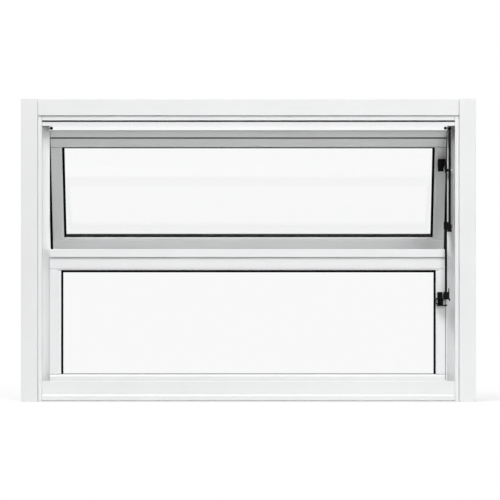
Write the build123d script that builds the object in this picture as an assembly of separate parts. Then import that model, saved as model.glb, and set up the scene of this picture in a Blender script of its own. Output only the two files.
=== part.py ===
from build123d import *
from math import atan2, cos, degrees, hypot, radians, sin, sqrt
import os

# Aluminium wall window, 590 x 399 mm over its frame: a fixed lower light, and above it a sash that turns
# on two pins at its top corners and swings outwards at the bottom. A black bar and rod at the right-hand
# side open and close it. Origin: middle of the sill's underside, in the plane of the room's wall face.
# +X to the right as seen from the room, +Y outwards through the wall, +Z up. Millimetres.

# Frame
FRAME_W = 590.0          # over the backs of the jambs
FRAME_H = 399.0          # sill underside to head top
FRAME_FRONT = -4.0       # front of the frame's lip, this far proud of the wall face
FRAME_BACK = 62.0        # outdoor face of the frame
FRAME_WALL = 1.4         # wall of the frame's extrusions
EDGE_R = 0.5             # rounding of the extrusions' visible corners
CLIP_STEP = 0.7          # step in the frame's front edge, which holds the toes of the strips
LIP_W = 6.0              # white lip of the jamb, seen from the room
CHANNEL_W = 10.2         # channel between the lip and the lights, in which the bar runs
CHANNEL_FLOOR = 14.0     # depth of the channel's floor
NOSE_PAST_LIGHT = 0.6    # jamb's nose reaches this far behind the lower light
REVEAL_BACK = 4.6        # reveal beside the sash, back from the nose
JOINT = 0.3              # open joint at the ends of head and sill
HEAD_LIP = 7.0           # height of the head's lip
HEAD_LINE_DOWN = 3.1     # fine line along the middle of that lip
HEAD_LINE_W = 0.4
HEAD_LINE_DEEP = 0.2
HEAD_STEP = 2.0          # face of the head's stop behind the lip
HEAD_GROOVE_W = 2.0      # shadow groove between the lip and that face
HEAD_GROOVE_DEEP = 4.0
HEAD_STOP_H = 20.9       # height of the head over its stop, which laps the sash's top edge
HEAD_FLARE_H = 5.4       # the stop's lower edge, which flares forward
HEAD_FLARE = 0.9
HEAD_CHANNEL_H = 14.4    # height of the head over the jambs' channels, where the stop is notched
HEAD_REAR_H = 8.0        # height of the head over the sash's top edge
HEAD_DRIP = 5.0          # drip edge below the head's outdoor part
SILL_LIP_H = 27.4        # upstand in front of the lower light
SILL_FRONT = -3.0        # front of that upstand
SILL_FOOT_H = 6.5        # foot of the sill, a little proud of the upstand
SILL_FOOT_PROUD = 0.8
SILL_FOOT_BEVEL = 2.0
SILL_SEAT = 13.4         # height of the seat under the lower light
SILL_REAR_H = 7.0        # outdoor edge of the sloping sill
SILL_SLOPE_START = 20.0  # depth where the slope starts

# Cover strips round the frame, on the wall face
STRIP_W = 23.0
STRIP_PROUD = 6.0
STRIP_WALL = 1.2
STRIP_EDGE_R = 0.5
TOE_T = 1.0              # toe of a strip's inner leg
STRIP_DROP = 1.6         # the side strips end this far below the sill
STRIP_SEAM = 0.1         # seam between the strips

# Sections of the two lights
LEAF_D = 18.0            # depth of a light's extrusions
LEAF_WALL = 1.4
FLANGE_W = 11.0          # raised flange along the top rail
FLANGE_PROUD = 2.4       # how far it stands in front of the other faces
GROOVE_W = 1.5           # shadow groove below the flange
GROOVE_DEEP = 3.0
TOP_RAIL_W = 29.0
BOTTOM_RAIL_W = 23.0     # of the lower light
SASH_RAIL_W = 17.8       # bottom rail of the sash
STILE_W = 15.8
STILE_JOINT = 0.5        # open joint at a stile's ends
LIP_BEVEL_W = 2.7        # bevelled edge round the glass
LIP_BEVEL_D = 1.0
POCKET_DEEP = 7.0        # glazing pocket
POCKET_LIP = 3.5         # wall in front of the pocket
GLASS_T = 4.0
GLASS_RECESS = 4.5       # glass behind the face of the rails
GLASS_BITE = 6.0         # glass into the pocket
GASKET_SHOWS = 2.7       # black edge round the glass, from the room
GASKET_BACK_SHOWS = 1.0
GASKET_BITE = 5.0

# Lower light, fixed in the frame
LIGHT_GAP = 0.6          # to the jamb's nose, each side
LOWER_TOP = 211.7
LOWER_SEAT_GAP = 0.3     # over the sill's seat

# Upper sash, on its pivots
SASH_OPEN = 32.0         # angle of the open stop, which is the rest pose
SASH_GAP = 0.4           # to the jamb's nose, each side
SEAL_T = 3.9             # rubber seal on the sash's edge, standing out into the reveal
SEAL_D = 13.0
SEAL_BEHIND_FRONT = 2.5
SEAL_R = 1.2             # rounding of its outer edges
SEAL_END_GAP = 3.0       # seal to the pivot bush
SASH_TOP_BELOW = 15.0    # closed, below the frame's top
SASH_STOP_GAP = 1.8      # closed, behind the head's stop
SASH_LIGHT_GAP = 2.8     # closed, behind the lower light
SASH_LAP = 25.7          # closed, over the lower light's top rail
PIVOT_BELOW_TOP = 3.1
PIVOT_BEHIND_FRONT = 10.2
PIVOT_R = 1.5
BUSH_R = 2.4
BUSH_LONG = 3.5
RUN_CLEAR = 0.08         # radial clearance of a turning fit
SEAT_CLEAR = 0.15        # clearance of a piece held in another

# Rod gear at the right-hand side
BAR_T = 3.2              # thickness of the bar, seen edge-on from the room
BAR_D = 9.0              # depth of the bar
BAR_IN_CHANNEL = 3.2     # bar centre to the channel's inner edge
BAR_FLOOR_GAP = 1.5      # bar to the channel's floor
BAR_TOP_BELOW = 1.0      # bar's top below the top of the closed sash
BAR_BOTTOM_ABOVE = 26.3  # bar's bottom above the lower light
BAR_CAP_T = 4.4          # thicker cap at the bar's top
BAR_CAP_H = 4.2
BAR_NECK_T = 2.4         # neck below the cap
BAR_NECK_H = 1.4
BRACKET_W = 8.0          # block on the sash's stile
BRACKET_PROUD = 13.0
BRACKET_TOP_BELOW = 47.5 # its top below the sash's top edge
BRACKET_LONG = 14.0
BRACKET_R = 2.5          # rounding of its front
LINK_PIVOT_PROUD = 8.0   # pin on the block, in front of the stile's face
LINK_PIVOT_DOWN = 3.7    # pin below the block's top
LINK_NOSE_GAP = 1.5      # link to the jamb's nose, which it passes
LINK_T = 2.0
LINK_CLEAR = 0.3         # between the link and the block, and between the link's pin and the bar
LINK_R = 3.4             # radius of the link's ends
LINK_PIN_DROP = 58.4     # pin between the link and the bar, open, below the sash's pivots
GEAR_PIN_R = 1.3
PIN_HEAD_R = 2.0
PIN_HEAD_T = 1.6
RIVET_HEAD_T = 0.5       # flat head of the pin that ends beside the channel
ROD_R = 1.6
ROD_PROUD = 7.0          # rod centre in front of the lights
ROD_INSET = 2.0          # rod centre inside the lower light's outer edge
ROD_IN_GUIDE = 4.9       # rod's end below the guide's top, open
COUPLER_H = 14.0
COUPLER_STAGGER = 3.5    # sleeve's foot above the boss's, and its top as far above the boss's top
COUPLER_PAST_BAR = 2.0   # coupler's foot below the bar's bottom
COUPLER_ARM_T = 5.0      # arm in front of the lights, fore and aft
COUPLER_WALL = 1.6       # wall of the coupler round the rod and beside the bar
COUPLER_BOSS_R = 2.3     # boss in front of the bar

# Guide on the lower light's right stile
GUIDE_BELOW = 59.8       # guide's top below the lower light's top
GUIDE_H = 8.6
GUIDE_W = 15.0
GUIDE_PAST = 1.2         # guide past the light's outer edge
GUIDE_PROUD = 14.0
GUIDE_ROUND = 2.2        # rounding of the block's front
GUIDE_SLOT_W = 1.5       # slot between the block's two halves
GUIDE_PLATE_T = 1.6
PLATE_PAST_LEFT = 4.9
PLATE_PAST_RIGHT = 2.5
PLATE_BEND = 3.6         # bent end of the plate, top to tip
KNOB_IN = 4.2            # knob's axis inside the block's left side
KNOB_TOP_R = 3.5
KNOB_BOTTOM_R = 2.7
KNOB_H = 7.4             # space for it between plate and foot
KNOB_FLUTES = 9
KNOB_FLUTE_R = 0.6
LEVER_LONG = 3.6         # lever on the knob, past its rim
LEVER_T = 1.4
LEVER_W = 2.0
GUIDE_FOOT_T = 2.0
GUIDE_WEB_T = 2.0        # web at the back between plate and foot
GUIDE_WEB_W = 5.0
CLIP_T = 0.8
CLIP_TIP_T = 0.4
CLIP_W = 4.0
CLIP_STANDS = 5.6        # spring above the guide's top

# What follows from them
half_frame = FRAME_W / 2
frame_edge = half_frame - CLIP_STEP
lip_inner = half_frame - LIP_W
between_lips = lip_inner - JOINT
nose_x = lip_inner - CHANNEL_W
nose_back = LEAF_D + NOSE_PAST_LIGHT
reveal_x = nose_x + REVEAL_BACK
leaf_face = FLANGE_PROUD
lower_half = nose_x - LIGHT_GAP
lower_bottom = SILL_SEAT + LOWER_SEAT_GAP
sash_half = nose_x - SASH_GAP
sash_top = FRAME_H - SASH_TOP_BELOW
sash_bottom = LOWER_TOP - SASH_LAP
sash_front = LEAF_D + SASH_LIGHT_GAP
head_face = FRAME_FRONT + HEAD_STEP
head_stop_back = sash_front - SASH_STOP_GAP
pivot_y = sash_front + PIVOT_BEHIND_FRONT
pivot_z = sash_top - PIVOT_BELOW_TOP
pivot_axis = Axis((0, pivot_y, pivot_z), (1, 0, 0))
stile_face_y = sash_front + leaf_face
bar_x = nose_x + BAR_IN_CHANNEL
bar_y = CHANNEL_FLOOR - BAR_FLOOR_GAP - BAR_D / 2
bar_top = sash_top - BAR_TOP_BELOW
bar_bottom = LOWER_TOP + BAR_BOTTOM_ABOVE
link_pin_z = pivot_z - LINK_PIN_DROP
rod_x = lower_half - ROD_INSET
rod_y = -ROD_PROUD
coupler_low = bar_bottom - COUPLER_PAST_BAR
coupler_top = coupler_low + COUPLER_H
guide_top = LOWER_TOP - GUIDE_BELOW
rod_bottom = guide_top - ROD_IN_GUIDE

# Link: one end on the sash's block, the other on the bar's pin
link_y_closed = stile_face_y - LINK_PIVOT_PROUD
link_z_closed = sash_top - BRACKET_TOP_BELOW - LINK_PIVOT_DOWN
link_x = nose_x - LINK_NOSE_GAP - LINK_T / 2


def sash_point(y, z, angle):
    """Where a point of the closed sash lies when the sash is open by an angle in degrees."""
    turn = radians(angle)
    dy = y - pivot_y
    dz = z - pivot_z
    return (pivot_y + dy * cos(turn) - dz * sin(turn), pivot_z + dy * sin(turn) + dz * cos(turn))


link_y_open, link_z_open = sash_point(link_y_closed, link_z_closed, SASH_OPEN)
link_long = sqrt((link_y_open - bar_y) ** 2 + (link_z_open - link_pin_z) ** 2)


def link_state(angle):
    """Height of the link's pin on the bar, and the link's own angle from the vertical, in degrees."""
    y, z = sash_point(link_y_closed, link_z_closed, angle)
    drop = sqrt(link_long ** 2 - (y - bar_y) ** 2)
    return z - drop, degrees(atan2(y - bar_y, drop))


pin_z_closed, lean_closed = link_state(0)
pin_z_open, lean_open = link_state(SASH_OPEN)
rod_travel = pin_z_open - pin_z_closed
link_swing = lean_open - lean_closed + SASH_OPEN


def free_end(angle):
    """How far the link's lower end lies from the bar's bolt when both follow the sash at constant rates."""
    part_open = angle / SASH_OPEN
    y, z = sash_point(link_y_closed, link_z_closed, angle)
    lean = radians(lean_closed + (lean_open - lean_closed) * part_open)
    bar_pin_z = pin_z_closed + rod_travel * part_open
    return y - link_long * sin(lean) - bar_y, z - link_long * cos(lean) - bar_pin_z


STEPS = 32
strays = [free_end(SASH_OPEN * step / STEPS) for step in range(STEPS + 1)]


def section(outline, corners=(), radius=EDGE_R):
    """Face inside a list of points, some of its corners rounded."""
    face = make_face(Polyline(*outline, close=True))
    chosen = [v for v in face.vertices() if any(hypot(v.X - x, v.Y - y) < 0.01 for x, y in corners)]
    return fillet(chosen, radius=radius) if chosen else face


def along_x(face, half_length, hollow=None):
    """Extrusion along X, centred, of a face drawn in y and z, with an optional hollow."""
    if hollow:
        face -= section(hollow)
    return extrude(Plane.YZ * face, amount=half_length, both=True)


def along_z(face, z_low, z_high, hollow=None):
    """Extrusion along Z of a face drawn in x and y, with an optional hollow."""
    if hollow:
        face -= section(hollow)
    return extrude(Plane.XY.offset(z_low) * face, amount=z_high - z_low)


def block(x0, x1, y0, y1, z0, z1):
    """Box between two corners."""
    return Pos((x0 + x1) / 2, (y0 + y1) / 2, (z0 + z1) / 2) * Box(x1 - x0, y1 - y0, z1 - z0)


def pin_x(x0, x1, y, z, radius):
    """Round pin along X."""
    return Pos((x0 + x1) / 2, y, z) * Rot(0, 90, 0) * Cylinder(radius, x1 - x0)


def rod_z(x, y, z0, z1, radius):
    """Round rod along Z."""
    return Pos(x, y, (z0 + z1) / 2) * Cylinder(radius, z1 - z0)


# Head and sill
def head_section():
    top = FRAME_H
    lip = top - HEAD_LIP
    line = top - HEAD_LINE_DOWN
    groove = head_face + HEAD_GROOVE_DEEP
    stop = top - HEAD_STOP_H
    rear = top - HEAD_REAR_H
    outline = [
        (0, top),
        (0, top - CLIP_STEP),
        (FRAME_FRONT, top - CLIP_STEP),
        (FRAME_FRONT, line + HEAD_LINE_W / 2),
        (FRAME_FRONT + HEAD_LINE_DEEP, line + HEAD_LINE_W / 2),
        (FRAME_FRONT + HEAD_LINE_DEEP, line - HEAD_LINE_W / 2),
        (FRAME_FRONT, line - HEAD_LINE_W / 2),
        (FRAME_FRONT, lip),
        (groove, lip),
        (groove, lip - HEAD_GROOVE_W),
        (head_face, lip - HEAD_GROOVE_W),
        (head_face, stop + HEAD_FLARE_H),
        (head_face - HEAD_FLARE, stop),
        (head_stop_back, stop),
        (head_stop_back, rear),
        (FRAME_BACK - FRAME_WALL, rear),
        (FRAME_BACK - FRAME_WALL, rear - HEAD_DRIP),
        (FRAME_BACK, rear - HEAD_DRIP),
        (FRAME_BACK, top),
    ]
    corners = [(FRAME_FRONT, top - CLIP_STEP), (FRAME_FRONT, lip), (head_face - HEAD_FLARE, stop)]
    return section(outline, corners)


def head_hollow():
    wall = FRAME_WALL
    top = FRAME_H - CLIP_STEP - wall
    stop = FRAME_H - HEAD_STOP_H + wall
    rear = FRAME_H - HEAD_REAR_H + wall
    lip = FRAME_H - HEAD_LIP + wall
    front = head_face + HEAD_GROOVE_DEEP + wall
    return [
        (FRAME_FRONT + wall, top),
        (FRAME_FRONT + wall, lip),
        (front, lip),
        (front, stop),
        (head_stop_back - wall, stop),
        (head_stop_back - wall, rear),
        (FRAME_BACK - wall, rear),
        (FRAME_BACK - wall, top),
    ]


def sill_section():
    foot = SILL_FRONT - SILL_FOOT_PROUD
    lip_back = SILL_FRONT + FRAME_WALL
    outline = [
        (foot, 0),
        (FRAME_BACK, 0),
        (FRAME_BACK, SILL_REAR_H),
        (SILL_SLOPE_START, SILL_SEAT),
        (lip_back, SILL_SEAT),
        (lip_back, SILL_LIP_H),
        (SILL_FRONT, SILL_LIP_H),
        (SILL_FRONT, SILL_FOOT_H + SILL_FOOT_BEVEL),
        (foot, SILL_FOOT_H),
    ]
    return section(outline, [(lip_back, SILL_LIP_H), (SILL_FRONT, SILL_LIP_H)])


def sill_hollow():
    wall = FRAME_WALL
    return [
        (SILL_FRONT + wall, wall),
        (FRAME_BACK - wall, wall),
        (FRAME_BACK - wall, SILL_REAR_H - wall),
        (SILL_SLOPE_START, SILL_SEAT - wall),
        (SILL_FRONT + wall, SILL_SEAT - wall),
    ]


def head_notch(side):
    """Cut through the head's stop at its end, where the jamb's channel passes."""
    inner = side * (nose_x - LIGHT_GAP)
    outer = side * (between_lips + 1)
    low = FRAME_H - HEAD_STOP_H - 1
    high = FRAME_H - HEAD_CHANNEL_H
    return block(min(inner, outer), max(inner, outer), FRAME_FRONT - 1, head_stop_back + 1, low, high)


head = along_x(head_section(), between_lips, head_hollow()) - head_notch(-1) - head_notch(1)
sill = along_x(sill_section(), between_lips, sill_hollow())


# Jambs, with the lip in front, the channel beside the lights and the reveal beside the sash
def jamb_section(side):
    points = [
        (half_frame, 0),
        (frame_edge, 0),
        (frame_edge, FRAME_FRONT),
        (lip_inner, FRAME_FRONT),
        (lip_inner, CHANNEL_FLOOR),
        (nose_x, CHANNEL_FLOOR),
        (nose_x, nose_back),
        (nose_x + FRAME_WALL, nose_back),
        (nose_x + FRAME_WALL, CHANNEL_FLOOR + FRAME_WALL),
        (reveal_x, CHANNEL_FLOOR + FRAME_WALL),
        (reveal_x, FRAME_BACK),
        (half_frame, FRAME_BACK),
    ]
    corners = [(frame_edge, FRAME_FRONT), (lip_inner, FRAME_FRONT)]
    return section([(side * x, y) for x, y in points], [(side * x, y) for x, y in corners])


def jamb_hollow(side):
    wall = FRAME_WALL
    points = [
        (frame_edge - wall, FRAME_FRONT + wall),
        (lip_inner + wall, FRAME_FRONT + wall),
        (lip_inner + wall, CHANNEL_FLOOR + wall),
        (reveal_x + wall, CHANNEL_FLOOR + wall),
        (reveal_x + wall, FRAME_BACK - wall),
        (frame_edge - wall, FRAME_BACK - wall),
    ]
    return [(side * x, y) for x, y in points]


head_end = along_x(head_section(), between_lips) - head_notch(-1) - head_notch(1)
sill_end = along_x(sill_section(), between_lips)
top_clip = block(-half_frame, half_frame, FRAME_FRONT - 1, 0, FRAME_H - CLIP_STEP, FRAME_H + 1)


def jamb(side):
    bar = along_z(jamb_section(side), 0, FRAME_H, jamb_hollow(side))
    return bar - head_end - sill_end - top_clip


# Cover strips: a face with two legs back to the wall, and a toe on the inner leg that holds to the frame
def strip_points(inner, outer):
    """Section of a strip across the wall face, as (across, y) points, its two front corners first."""
    out = 1 if outer > inner else -1
    wall = STRIP_WALL * out
    toe = inner - CLIP_STEP * out
    return [
        (inner, -STRIP_PROUD),
        (outer, -STRIP_PROUD),
        (outer, 0),
        (outer - wall, 0),
        (outer - wall, STRIP_WALL - STRIP_PROUD),
        (inner + wall, STRIP_WALL - STRIP_PROUD),
        (inner + wall, 0),
        (toe, 0),
        (toe, -TOE_T),
        (inner, -TOE_T),
    ]


def side_strip(side):
    points = strip_points(side * half_frame, side * (half_frame + STRIP_W))
    return along_z(section(points, points[:2], STRIP_EDGE_R), -STRIP_DROP, FRAME_H + STRIP_W)


def top_strip():
    points = [(y, z) for z, y in strip_points(FRAME_H, FRAME_H + STRIP_W)]
    return along_x(section(points, points[:2], STRIP_EDGE_R), frame_edge - STRIP_SEAM)


# Lights
def leaf_outline(width, flange):
    """Section of a light's member as (in from its outer edge, depth) points, with the glazing pocket."""
    face = leaf_face
    points = [(width - LIP_BEVEL_W, face), (width, face + LIP_BEVEL_D), (width, face + POCKET_LIP)]
    points += [(width - POCKET_DEEP, face + POCKET_LIP), (width - POCKET_DEEP, LEAF_D - LEAF_WALL)]
    points += [(width, LEAF_D - LEAF_WALL), (width, LEAF_D), (0, LEAF_D)]
    if flange:
        groove = FLANGE_W + GROOVE_W
        points += [(0, 0), (FLANGE_W, 0), (FLANGE_W, face + GROOVE_DEEP), (groove, face + GROOVE_DEEP)]
        points += [(groove, face)]
    else:
        points += [(0, face)]
    return points


def leaf_corners(flange):
    """Corners of that section which are rounded."""
    return [(0, 0), (FLANGE_W, 0)] if flange else [(0, leaf_face)]


def leaf_hollow(width, flange):
    wall = LEAF_WALL
    front = leaf_face + GROOVE_DEEP + wall if flange else leaf_face + wall
    back = LEAF_D - wall
    inner = width - POCKET_DEEP - wall
    if not flange:
        return [(wall, front), (inner, front), (inner, back), (wall, back)]
    shoulder = FLANGE_W - wall
    return [(wall, wall), (shoulder, wall), (shoulder, front), (inner, front), (inner, back), (wall, back)]


def leaf(top, bottom, half, front, low_rail):
    """The pieces of one light, closed: two rails right across, two stiles between, glass and gaskets."""
    def top_points(points):
        return [(front + y, top - v) for v, y in points]

    def bottom_points(points):
        return [(front + y, bottom + v) for v, y in points]

    def stile_points(points, side):
        return [(side * (half - v), front + y) for v, y in points]

    def stile(side):
        outline = stile_points(leaf_outline(STILE_W, False), side)
        face = section(outline, stile_points(leaf_corners(False), side))
        hollow = stile_points(leaf_hollow(STILE_W, False), side)
        return along_z(face, open_bottom + STILE_JOINT, open_top - STILE_JOINT, hollow)

    open_top = top - TOP_RAIL_W
    open_bottom = bottom + low_rail
    open_half = half - STILE_W
    top_face = section(top_points(leaf_outline(TOP_RAIL_W, True)), top_points(leaf_corners(True)))
    bottom_face = section(
        bottom_points(leaf_outline(low_rail, False)), bottom_points(leaf_corners(False))
    )
    glass_front = front + leaf_face + GLASS_RECESS
    glass_back = glass_front + GLASS_T
    glass = pane(open_half, open_bottom, open_top, GLASS_BITE, glass_front, glass_back)
    lip_back = front + leaf_face + POCKET_LIP
    front_gasket = gasket(open_half, open_bottom, open_top, GASKET_SHOWS, lip_back, glass_front)
    rear_lip = front + LEAF_D - LEAF_WALL
    back_gasket = gasket(open_half, open_bottom, open_top, GASKET_BACK_SHOWS, glass_back, rear_lip)
    return {
        "top_rail": along_x(top_face, half, top_points(leaf_hollow(TOP_RAIL_W, True))),
        "bottom_rail": along_x(bottom_face, half, bottom_points(leaf_hollow(low_rail, False))),
        "left_stile": stile(-1),
        "right_stile": stile(1),
        "glass": glass,
        "front_gasket": front_gasket,
        "back_gasket": back_gasket,
    }


def pane(half, low, high, bite, y0, y1):
    """A flat sheet that reaches into the glazing pocket all round."""
    return block(-half - bite, half + bite, y0, y1, low - bite, high + bite)


def gasket(half, low, high, shows, y0, y1):
    """Rubber round the glass, from inside the pocket to a little way past its lip."""
    return pane(half, low, high, GASKET_BITE, y0, y1) - pane(half, low, high, -shows, y0 - 1, y1 + 1)


def bush_notch(side):
    """Cut in the end of the sash's top rail for its pivot bush, open at the top."""
    inner = side * (sash_half - BUSH_LONG - SEAT_CLEAR)
    outer = side * (sash_half + 1)
    x0, x1 = min(inner, outer), max(inner, outer)
    radius = BUSH_R + SEAT_CLEAR
    slot = block(x0, x1, pivot_y - radius, pivot_y + radius, pivot_z, sash_top + 1)
    return pin_x(x0, x1, pivot_y, pivot_z, radius) + slot


def pivot_bush(side):
    """Bush in that notch, filled up to the top of the rail."""
    inner = side * (sash_half - BUSH_LONG)
    outer = side * sash_half
    x0, x1 = min(inner, outer), max(inner, outer)
    bush = pin_x(x0, x1, pivot_y, pivot_z, BUSH_R)
    bush += block(x0, x1, pivot_y - BUSH_R, pivot_y + BUSH_R, pivot_z, sash_top)
    return bush - pin_x(x0 - 1, x1 + 1, pivot_y, pivot_z, PIVOT_R + RUN_CLEAR)


def pivot_pin(side):
    """Pin from the jamb's reveal into the bush."""
    inner = side * (sash_half - BUSH_LONG)
    outer = side * reveal_x
    return pin_x(min(inner, outer), max(inner, outer), pivot_y, pivot_z, PIVOT_R)


def sash_seal(side):
    """Rubber seal along the sash's outer edge, with a rounded outer side."""
    inner = side * sash_half
    outer = side * (sash_half + SEAL_T)
    front = sash_front + SEAL_BEHIND_FRONT
    back = front + SEAL_D
    points = [(outer, front), (outer, back), (inner, back), (inner, front)]
    high = pivot_z - BUSH_R - SEAL_END_GAP
    return along_z(section(points, points[:2], SEAL_R), sash_bottom, high)


lower = leaf(LOWER_TOP, lower_bottom, lower_half, 0, BOTTOM_RAIL_W)
upper = leaf(sash_top, sash_bottom, sash_half, sash_front, SASH_RAIL_W)
upper["top_rail"] = upper["top_rail"] - bush_notch(-1) - bush_notch(1)
upper["left_pivot_bush"] = pivot_bush(-1)
upper["right_pivot_bush"] = pivot_bush(1)
upper["left_sash_seal"] = sash_seal(-1)
upper["right_sash_seal"] = sash_seal(1)


# Rod gear on the sash
link_inner = link_x - LINK_T / 2
link_outer = link_x + LINK_T / 2
bracket_outer = link_inner - LINK_CLEAR


def sash_bracket():
    """Block on the stile that carries the link's pin, with a rounded front."""
    top = sash_top - BRACKET_TOP_BELOW
    back = stile_face_y
    body = block(
        bracket_outer - BRACKET_W, bracket_outer, back - BRACKET_PROUD, back, top - BRACKET_LONG, top
    )
    front_edges = body.edges().filter_by(Axis.X).group_by(Axis.Y)[0]
    body = fillet(front_edges, radius=BRACKET_R)
    bore_from = bracket_outer - BRACKET_W - 1
    return body - pin_x(bore_from, bracket_outer + 1, link_y_closed, link_z_closed, GEAR_PIN_R + SEAT_CLEAR)


def bracket_pin():
    shaft_in = bracket_outer - BRACKET_W + 1
    shaft_out = link_outer + SEAT_CLEAR
    shaft = pin_x(shaft_in, shaft_out, link_y_closed, link_z_closed, GEAR_PIN_R)
    return shaft + pin_x(shaft_out, shaft_out + RIVET_HEAD_T, link_y_closed, link_z_closed, PIN_HEAD_R)


upper["sash_bracket"] = sash_bracket()
upper["bracket_pin"] = bracket_pin()
sash = {name: piece.rotate(pivot_axis, SASH_OPEN) for name, piece in upper.items()}


# Link and its pin, in the open pose
def eye_plate(y0, z0, y1, z1, radius):
    """Outline of a link with round ends, as a face in the plane across X."""
    lean = degrees(atan2(z1 - z0, y1 - y0))
    long = sqrt((y1 - y0) ** 2 + (z1 - z0) ** 2)
    outline = SlotCenterToCenter(long, 2 * radius)
    return Plane.YZ * Pos((y0 + y1) / 2, (z0 + z1) / 2) * Rot(0, 0, lean) * outline


def connecting_link():
    plate = extrude(
        Pos(link_inner, 0, 0) * eye_plate(link_y_open, link_z_open, bar_y, link_pin_z, LINK_R), amount=LINK_T
    )
    plate -= pin_x(link_inner - 1, link_outer + 1, link_y_open, link_z_open, GEAR_PIN_R + RUN_CLEAR)
    return plate - pin_x(link_inner - 1, link_outer + 1, bar_y, link_pin_z, GEAR_PIN_R + SEAT_CLEAR)


def link_pin():
    """Pin in the link's lower end, with a collar that ends just short of the bar's side."""
    bar_in = bar_x - BAR_T / 2
    pin = pin_x(link_inner, link_outer, bar_y, link_pin_z, GEAR_PIN_R)
    return pin + pin_x(link_outer, bar_in - LINK_CLEAR, bar_y, link_pin_z, PIN_HEAD_R)


def bar_bolt(z):
    """Bolt through the bar, in line with a piece beside it, with its head on the jamb's side."""
    bar_in = bar_x - BAR_T / 2
    bar_out = bar_x + BAR_T / 2
    bolt = pin_x(bar_in, bar_out, bar_y, z, GEAR_PIN_R)
    return bolt + pin_x(bar_out, bar_out + PIN_HEAD_T, bar_y, z, PIN_HEAD_R)


# Bar, coupler and rod, in the open pose
coupler_z = coupler_low + COUPLER_H / 2


def pull_bar():
    """Flat bar with holes for its two bolts, a round lower end, and a thicker cap over a neck at the top."""
    front = bar_y - BAR_D / 2
    back = bar_y + BAR_D / 2
    neck_top = bar_top - BAR_CAP_H
    neck_low = neck_top - BAR_NECK_H
    body = block(bar_x - BAR_T / 2, bar_x + BAR_T / 2, front, back, bar_bottom, neck_low)
    low_edges = body.edges().filter_by(Axis.X).group_by(Axis.Z)[0]
    body = fillet(low_edges, radius=BAR_D / 2 - 0.2)
    body += block(bar_x - BAR_NECK_T / 2, bar_x + BAR_NECK_T / 2, front + 1, back - 1, neck_low, neck_top)
    cap = block(bar_x - BAR_CAP_T / 2, bar_x + BAR_CAP_T / 2, front, back, neck_top, bar_top)
    body += fillet(cap.edges(), radius=BAR_CAP_T / 4)
    for z in (link_pin_z, coupler_z):
        body -= pin_x(bar_x - BAR_T, bar_x + BAR_T, bar_y, z, GEAR_PIN_R + SEAT_CLEAR)
    return body


coupler_plate_outer = bar_x - BAR_T / 2 - SEAT_CLEAR
coupler_plate_inner = coupler_plate_outer - COUPLER_WALL


def rod_coupler():
    """Cheek beside the bar in the channel, and an arm in front with a sleeve round the rod and a boss."""
    arm_front = rod_y - COUPLER_ARM_T / 2
    arm_back = rod_y + COUPLER_ARM_T / 2
    cheek = block(
        coupler_plate_inner, coupler_plate_outer, arm_front, bar_y + BAR_D / 2, coupler_low, coupler_top
    )
    back_edges = cheek.edges().filter_by(Axis.X).group_by(Axis.Y)[-1]
    body = fillet(back_edges, radius=BAR_D / 2 - 0.2)
    sleeve_low = coupler_low + COUPLER_STAGGER
    boss_top = coupler_top - COUPLER_STAGGER
    body += block(rod_x, bar_x, arm_front, arm_back, sleeve_low, boss_top)
    body += rod_z(rod_x, rod_y, sleeve_low, coupler_top, ROD_R + COUPLER_WALL)
    body += rod_z(bar_x, rod_y, coupler_low, boss_top, COUPLER_BOSS_R)
    body -= pin_x(
        coupler_plate_inner - 1,
        coupler_plate_outer + 1,
        bar_y,
        coupler_z,
        GEAR_PIN_R + SEAT_CLEAR,
    )
    return body - rod_z(rod_x, rod_y, coupler_low - 1, coupler_top + 1, ROD_R + SEAT_CLEAR)


def coupler_bolt():
    return bar_bolt(coupler_z) + pin_x(coupler_plate_inner, bar_x, bar_y, coupler_z, GEAR_PIN_R)


def lower_rod():
    return rod_z(rod_x, rod_y, rod_bottom, coupler_top + 1.5, ROD_R)


# Guide on the lower light
guide_right = lower_half + GUIDE_PAST
guide_left = guide_right - GUIDE_W
guide_back = leaf_face
guide_front = guide_back - GUIDE_PROUD
guide_low = guide_top - GUIDE_H
plate_low = guide_low - GUIDE_PLATE_T
foot_top = plate_low - KNOB_H
foot_low = foot_top - GUIDE_FOOT_T
knob_x = guide_left + KNOB_IN


def rod_guide_bracket():
    """Split block with a bore for the rod, on a plate with a bent end, and a notched foot, on one web."""
    bore_r = ROD_R + RUN_CLEAR
    body = block(guide_left, guide_right, guide_front, guide_back, guide_low, guide_top)
    body = fillet(body.edges().filter_by(Axis.Z).group_by(Axis.Y)[0], radius=GUIDE_ROUND)
    slot_x = (guide_left + guide_right) / 2
    slot_from = slot_x - GUIDE_SLOT_W / 2
    slot_to = slot_x + GUIDE_SLOT_W / 2
    body -= block(slot_from, slot_to, guide_front - 1, guide_back + 1, guide_low - 1, guide_top + 1)
    plate_left = guide_left - PLATE_PAST_LEFT
    plate_right = guide_right + PLATE_PAST_RIGHT
    plate = block(plate_left, plate_right, guide_front, guide_back, plate_low, guide_low)
    body += fillet(plate.edges().filter_by(Axis.Z).group_by(Axis.Y)[0], radius=GUIDE_ROUND)
    bend_low = guide_low - PLATE_BEND
    body += block(
        plate_right - GUIDE_PLATE_T, plate_right, guide_front + GUIDE_ROUND, guide_back, bend_low, guide_low
    )
    web_from = knob_x - GUIDE_WEB_W / 2
    web_to = knob_x + GUIDE_WEB_W / 2
    body += block(web_from, web_to, guide_back - GUIDE_WEB_T, guide_back, foot_low, guide_low)
    foot = block(guide_left, rod_x + ROD_R, guide_front, guide_back, foot_low, foot_top)
    body += fillet(foot.edges().filter_by(Axis.Z).group_by(Axis.Y)[0], radius=GUIDE_ROUND)
    body -= rod_z(rod_x, rod_y, foot_low - 1, guide_top + 1, bore_r)
    return body - block(rod_x, guide_right, rod_y - bore_r, rod_y + bore_r, foot_low - 1, foot_top + 1)


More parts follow.
